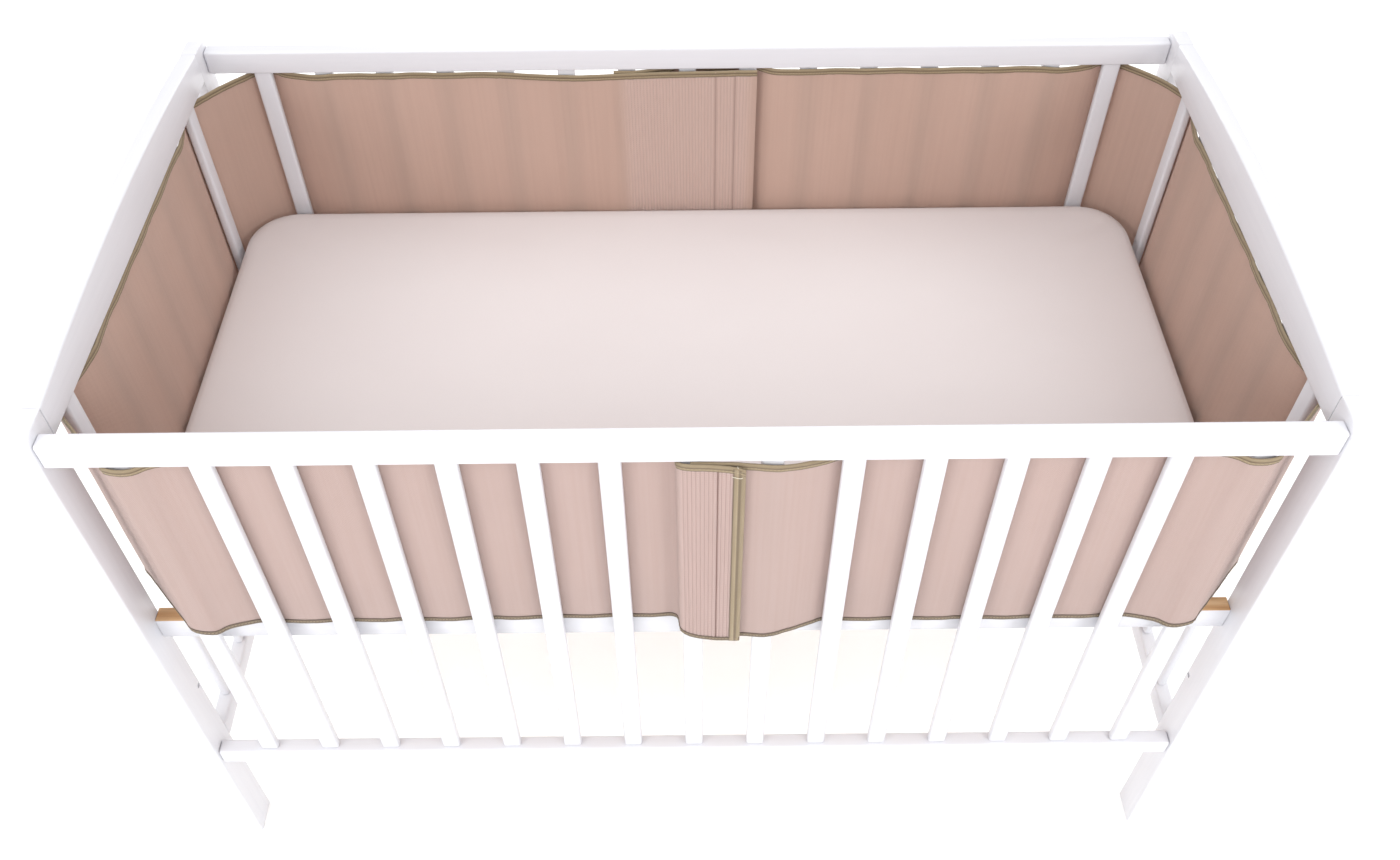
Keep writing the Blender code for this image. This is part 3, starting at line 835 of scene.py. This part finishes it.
def relief(point, height, share, seams):
    """How far the cloth stands out from its route: slack, drag lines, puckers and seams."""
    out = sum(depth * noise.noise(Vector((point.x * across, point.y * across, height * up + shift)))
              for depth, across, up, shift in SLACK)
    edge = min(share, 1 - share)
    pucker = noise.noise(Vector((point.x * 95, point.y * 95, 3.0 if share > 0.5 else 11.0)))
    out += PUCKER * pucker * math.exp(-edge / 0.05)
    return out - SEAM_DEPTH * seam_share(point, seams)


def wave_of(point, top):
    """A small waviness of the taped edges."""
    shift = 3.0 if top else 9.0
    return 0.0006 * noise.noise(Vector((point.x * 13, point.y * 13, shift)))


def stations(route, start, zones):
    """Distances along the route for the columns: close in the coarse zones, wide elsewhere."""
    found = [start]
    while found[-1] < route.length - GAP:
        here = route.at(found[-1])
        step = RIB_COLUMN if in_zone(here, zones) > 0 else COLUMN
        found.append(min(route.length, found[-1] + step))
    return found


def lay_grid(name, across, up):
    """A flat grid in the object's own sizes, whose points are then put in place."""
    bpy.ops.mesh.primitive_grid_add(x_subdivisions=across, y_subdivisions=up, size=1.0)
    made = bpy.context.object
    made.name = name
    return made


def put(made, across, up, where, flat):
    """Moves each point of a grid to where(i, j) and gives it the flat pattern's UV."""
    layer = made.data.uv_layers[0]
    cells = []
    for point in made.data.vertices:
        i = round((point.co.x + 0.5) * across)
        j = round((point.co.y + 0.5) * up)
        cells.append((i, j))
    for point, (i, j) in zip(made.data.vertices, cells):
        point.co = where(i, j)
    for loop in made.data.loops:
        layer.data[loop.index].uv = flat(*cells[loop.vertex_index])
    return cells


def thicken(made, thick):
    wall = made.modifiers.new("thickness", "SOLIDIFY")
    wall.thickness = thick
    wall.offset = 0.0
    wall.use_even_offset = True
    bpy.ops.object.modifier_apply(modifier="thickness")
    bpy.ops.object.mode_set(mode="EDIT")
    bpy.ops.mesh.select_all(action="SELECT")
    bpy.ops.mesh.normals_make_consistent(inside=False)
    bpy.ops.object.mode_set(mode="OBJECT")
    bpy.ops.object.shade_smooth_by_angle(angle=math.radians(50))


def edge_levels(route, run):
    point = route.at(run)
    return point.z + wave_of(point.xy.to_3d(), True), point.w + wave_of(point.xy.to_3d(), False)


def cloth_point(route, run, share, zones, seams):
    """A point of the panel at a run along it and a share of its height."""
    point = route.at(run)
    flat = point.xy.to_3d()
    top, foot = edge_levels(route, run)
    top -= 0.0012
    foot += 0.0012
    z = foot + (top - foot) * share
    out = relief(flat, z, share, seams)
    coarse = in_zone(flat, zones)
    if coarse > 0:
        out += coarse * RIB_RISE * math.cos(2 * math.pi * run / RIB_PITCH)
    place_now = flat + route.outward(run).to_3d() * out
    return Vector((place_now.x, place_now.y, z))


def panel(name, route, zones, seams, node_name):
    runs = stations(route, 0.0015, zones)
    across = len(runs) - 1
    made = lay_grid(name, across, PANEL_ROWS)
    cells = put(made, across, PANEL_ROWS,
                lambda i, j: cloth_point(route, runs[i], j / PANEL_ROWS, zones, seams),
                lambda i, j: (runs[i], 0.3 * j / PANEL_ROWS))
    coarse = made.data.attributes.new("coarse", "FLOAT", "POINT")
    seam = made.data.attributes.new("seam", "FLOAT", "POINT")
    for index, (i, j) in enumerate(cells):
        spot = route.at(runs[i])
        coarse.data[index].value = in_zone(spot, zones)
        seam.data[index].value = seam_share(spot, seams)
    thicken(made, CLOTH_THICK)
    outer = made.data.attributes.new("outer", "FLOAT", "POINT")
    points = made.data.vertices
    for index, (i, j) in enumerate(cells):
        twin = index + len(cells)
        faces_out = (points[twin].co - points[index].co).dot(route.outward(runs[i]).to_3d()) > 0
        outer.data[twin if faces_out else index].value = 1.0
    dress(made, MESH, "liner_mesh", node_name)
    return made


# The folded tape's section from its front open edge, over the fold, to its back open edge:
# distance across the cloth in half thicknesses, distance in from the fold in tape widths
TAPE_SECTION = (
    (1.00, 1.00), (1.06, 0.80), (1.12, 0.55), (1.05, 0.30), (0.95, 0.14), (0.62, 0.03), (0.0, 0.0),
    (-0.62, 0.03), (-0.95, 0.14), (-1.05, 0.30), (-1.12, 0.55), (-1.06, 0.80), (-1.00, 1.00),
)


def tape_run(name, route, top, start, end):
    """Tape folded over the panel's top edge or foot."""
    count = max(2, round((end - start) / TAPE_STEP))
    runs = [start + (end - start) * i / count for i in range(count + 1)]
    last = len(TAPE_SECTION) - 1
    made = lay_grid(name, count, last)

    def where(i, j):
        run = runs[i]
        flat = route.at(run).xy.to_3d()
        across, into = TAPE_SECTION[j]
        level = edge_levels(route, run)[0 if top else 1]
        way = -1 if top else 1
        frill = 0.00025 * noise.noise(Vector((run * 260, into * 2, 5.0 if top else 8.0)))
        share = 0.98 if top else 0.02
        swing = relief(flat, level, share, ())
        out = swing + across * (TAPE_HALF + frill)
        spot = flat + route.outward(run).to_3d() * out
        return Vector((spot.x, spot.y, level + way * (into * TAPE_WIDTH + frill * into)))

    cells = put(made, count, last, where, lambda i, j: (runs[i], j * 0.0014))
    depth = made.data.attributes.new("into", "FLOAT", "POINT")
    # Painted shade for the foot tape: 1 on the foot, 0 on the top.
    painted_foot_shade = made.data.attributes.new("painted_foot_shade", "FLOAT", "POINT")
    for index, (i, j) in enumerate(cells):
        depth.data[index].value = TAPE_SECTION[j][1]
        painted_foot_shade.data[index].value = 0.0 if top else 1.0
    thicken(made, TAPE_THICK)
    return made


def end_tape(name, route):
    """Tape folded over the panel's upright end, at the route's start."""
    levels = 60
    last = len(TAPE_SECTION) - 1
    made = lay_grid(name, levels, last)

    def where(i, j):
        across, into = TAPE_SECTION[j]
        run = into * END_TAPE_WIDTH
        flat = route.at(run).xy.to_3d()
        top, foot = edge_levels(route, run)
        share = i / levels
        z = foot + END_TAPE_INSET + (top - foot - 2 * END_TAPE_INSET) * share
        bend = 0.0006 * noise.noise(Vector((z * 40, into, 2.0)))
        out = relief(flat, z, share, ()) + across * (TAPE_HALF + 0.00015) + bend
        spot = flat + route.outward(run).to_3d() * out
        return Vector((spot.x, spot.y, z))

    cells = put(made, levels, last, where, lambda i, j: (0.3 * i / levels, j * 0.0016))
    depth = made.data.attributes.new("into", "FLOAT", "POINT")
    for index, (i, j) in enumerate(cells):
        depth.data[index].value = TAPE_SECTION[j][1]
    thicken(made, TAPE_THICK)
    return made


def join(name, pieces):
    bpy.ops.object.select_all(action="DESELECT")
    for piece in pieces:
        piece.select_set(True)
    bpy.context.view_layer.objects.active = pieces[0]
    bpy.ops.object.join()
    made = bpy.context.object
    made.name = name
    return made


def stitches(name, spots, finish, slot):
    """Short threads: each spot is a middle, the way that it runs, and the way that it faces."""
    mesh = bpy.data.meshes.new(name)
    work = bmesh.new()
    rings = ((-0.5, 0.15), (-0.3, 0.9), (0.0, 1.0), (0.3, 0.9), (0.5, 0.15))
    corners = 4
    for middle, way, face in spots:
        side = way.cross(face)
        loops = []
        for along, wide in rings:
            loop = []
            for turn in range(corners):
                angle = 2 * math.pi * (turn + 0.5) / corners
                reach = (side * math.cos(angle) + face * math.sin(angle)) * STITCH_RADIUS * wide
                loop.append(work.verts.new(middle + way * along * STITCH_LONG + reach))
            loops.append(loop)
        for a, b in zip(loops, loops[1:]):
            for turn in range(corners):
                after = (turn + 1) % corners
                work.faces.new((a[turn], a[after], b[after], b[turn]))
        work.faces.new(list(reversed(loops[0])))
        work.faces.new(loops[-1])
    work.normal_update()
    bmesh.ops.recalc_face_normals(work, faces=work.faces)
    work.to_mesh(mesh)
    work.free()
    made = bpy.data.objects.new(name, mesh)
    bpy.context.scene.collection.objects.link(made)
    bpy.context.view_layer.objects.active = made
    made.select_set(True)
    bpy.ops.object.shade_smooth()
    return dress(made, finish, slot)


def tape_stitch_spots(route, top, start, end):
    spots = []
    run = start + STITCH_PITCH
    while run < end - STITCH_PITCH:
        flat = route.at(run).xy.to_3d()
        outward = route.outward(run).to_3d()
        level = edge_levels(route, run)[0 if top else 1]
        z = level + (-1 if top else 1) * TAPE_WIDTH * TAPE_SEAM
        swing = relief(flat, level, 0.98 if top else 0.02, ())
        way = Vector((-outward.y, outward.x, 0.0))
        for face in (1, -1):
            out = swing + face * (TAPE_BULGE * TAPE_HALF + TAPE_THICK / 2 + STITCH_RADIUS * 0.3)
            spot = flat + outward * out
            spots.append((Vector((spot.x, spot.y, z)), way, outward * face))
        run += STITCH_PITCH
    return spots


def upright_stitch_spots(route, run, start_z, end_z, half):
    """Stitches up the cloth at one run, on both faces."""
    spots = []
    z = start_z
    flat = route.at(run).xy.to_3d()
    outward = route.outward(run).to_3d()
    top, foot = edge_levels(route, run)
    while z < end_z:
        share = (z - foot) / (top - foot)
        swing = relief(flat, z, share, ())
        for face in (1, -1):
            spot = flat + outward * (swing + face * half)
            spots.append((Vector((spot.x, spot.y, z)), Vector((0, 0, 1)), outward * face))
        z += STITCH_PITCH
    return spots


def thread_end(name, route, slot):
    """The sewing thread's tail, tacked across the flap's upper corner and left a little long."""
    top = edge_levels(route, 0.004)[0]
    # Distance along the cloth, out from its middle, and up from its top edge
    knots = ((0.0128, 0.0022, -0.0100), (0.0085, 0.0023, -0.0112), (0.0045, 0.0023, -0.0118),
             (0.0020, 0.0012, -0.0112), (0.0030, 0.0, -0.0060), (0.0070, 0.0, -0.0010),
             (0.0076, 0.0004, 0.0016), (0.0079, 0.0010, 0.0046))
    line = bpy.data.curves.new(name, "CURVE")
    line.dimensions = "3D"
    line.bevel_depth = THREAD_RADIUS
    line.bevel_resolution = 2
    line.use_fill_caps = True
    line.resolution_u = 6
    spline = line.splines.new("NURBS")
    spline.points.add(len(knots) - 1)
    for knot, (run, out, rise) in zip(spline.points, knots):
        spot = route.at(run).xy.to_3d() + route.outward(run).to_3d() * out
        knot.co = (spot.x, spot.y, top + rise, 1.0)
    spline.use_endpoint_u = True
    spline.order_u = 4
    made = bpy.data.objects.new(name, line)
    bpy.context.scene.collection.objects.link(made)
    bpy.ops.object.select_all(action="DESELECT")
    made.select_set(True)
    bpy.context.view_layer.objects.active = made
    bpy.ops.object.convert(target="MESH")
    bpy.ops.object.shade_smooth()
    return dress(bpy.context.object, WHITE_THREAD, slot)


def run_at_x(route, x, start, end):
    """The distance along the route where it passes a given x, looked for between two runs."""
    steps = 400
    best = min(range(steps + 1), key=lambda k: abs(route.at(start + (end - start) * k / steps).x - x))
    return start + (end - start) * best / steps


def liner(name, rows, turn, zones, seams):
    route = Route(rows, turn)
    node_name = f"liner_panel_{name}"
    cloth = panel(f"liner_{name}_mesh", route, zones, seams, node_name)
    end = route.length
    tapes = [
        tape_run("top_tape", route, True, 0.0, end),
        tape_run("foot_tape", route, False, 0.0, end),
        end_tape("end_tape", route),
    ]
    tape = join(f"liner_{name}_tape", tapes)
    dress(tape, TAPE, "binding_tape", f"liner_binding_{name}")
    spots = tape_stitch_spots(route, True, 0.0, end) + tape_stitch_spots(route, False, 0.0, end)
    top, foot = edge_levels(route, END_TAPE_WIDTH)
    spots += upright_stitch_spots(route, END_TAPE_WIDTH * TAPE_SEAM, foot + TAPE_MARGIN,
                                  top - TAPE_MARGIN,
                                  TAPE_BULGE * TAPE_HALF + TAPE_THICK / 2 + STITCH_RADIUS * 0.5)
    tape_thread = stitches(f"liner_{name}_tape_stitches", spots, TAPE_THREAD, "binding_tape")
    if seams:
        thread_end(f"liner_{name}_thread_end", route, "binding_tape")
        spots = []
        for side, x in seams:
            span = (0.0, 0.06) if side == "front" else (end - 0.25, end)
            run = run_at_x(route, x, *span)
            top, foot = edge_levels(route, run)
            spots += upright_stitch_spots(route, run, foot + SEAM_MARGIN, top - SEAM_MARGIN,
                                          CLOTH_THICK / 2 - 0.0002)
        stitches(f"liner_{name}_seam_stitches", spots, SEAM_THREAD, "liner_mesh")
    width = sum(a.z - a.w for a in route.points) / len(route.points)
    return route


for side in ("front", "back"):
    side_frame(side)
end_frame("left", -1)
end_frame("right", 1)
base()
mattress()
liner("left", left_route(), -1.0, (("front", -0.014, 0.060), ("back", -0.092, 0.090)),
      (("front", 0.025), ("back", 0.036), ("back", 0.0605)))
liner("right", right_route(), 1.0, (), ())


# Floor, light and camera

bpy.ops.mesh.primitive_plane_add(size=240.0, location=(0, 0, 0))
floor = bpy.context.object
floor.name = "floor"
floor.data.materials.append(pale_floor())


def soft_light(name, place_at, target, size, power):
    lamp = bpy.data.lights.new(name, "AREA")
    lamp.shape = "RECTANGLE"
    lamp.size, lamp.size_y = size
    lamp.energy = power
    made = bpy.data.objects.new(name, lamp)
    made.location = place_at
    made.rotation_euler = (Vector(target) - Vector(place_at)).to_track_quat("-Z", "Y").to_euler()
    bpy.context.scene.collection.objects.link(made)


soft_light("left_softbox", (-1.8, -2.0, 1.8), (0.1, 0, 0.68), (0.9, 0.9), 20.0)
soft_light("right_softbox", (1.8, -2.0, 1.8), (-0.1, 0, 0.68), (0.9, 0.9), 20.0)
soft_light("front_light", (0.0, -1.5, 2.3), (0, 0.25, 0.66), (0.9, 0.7), 7.0)
soft_light("back_softbox", (0.0, 2.2, 1.1), (0, 0.32, 0.68), (1.8, 0.8), 18.0)

world = bpy.data.worlds.new("white_surroundings")
bpy.context.scene.world = world
world.use_nodes = True
sky = world.node_tree
height = node(sky, "ShaderNodeSeparateXYZ", {0: node(sky, "ShaderNodeTexCoord").outputs["Generated"]})
overhead = spread(sky, height.outputs[2], 0.0, 0.9, 0.28, 1.50)
haze = spread(sky, height.outputs[2], 0.13, 0.32, 1.05, 0.45)
glow = calc(sky, "MAXIMUM", overhead, haze)
sky.nodes["Background"].inputs["Color"].default_value = (1.0, 1.0, 1.0, 1.0)
sky.links.new(glow, sky.nodes["Background"].inputs["Strength"])
bpy.context.scene.view_settings.view_transform = "Standard"

lens = bpy.data.cameras.new("camera")
lens.lens = CAMERA_LENS
lens.sensor_width = 36.0
lens.shift_x, lens.shift_y = CAMERA_SHIFT
camera = bpy.data.objects.new("camera", lens)
camera.location = CAMERA_PLACE
camera.rotation_euler = [math.radians(turn) for turn in CAMERA_TURN]
bpy.context.scene.collection.objects.link(camera)
bpy.context.scene.camera = camera
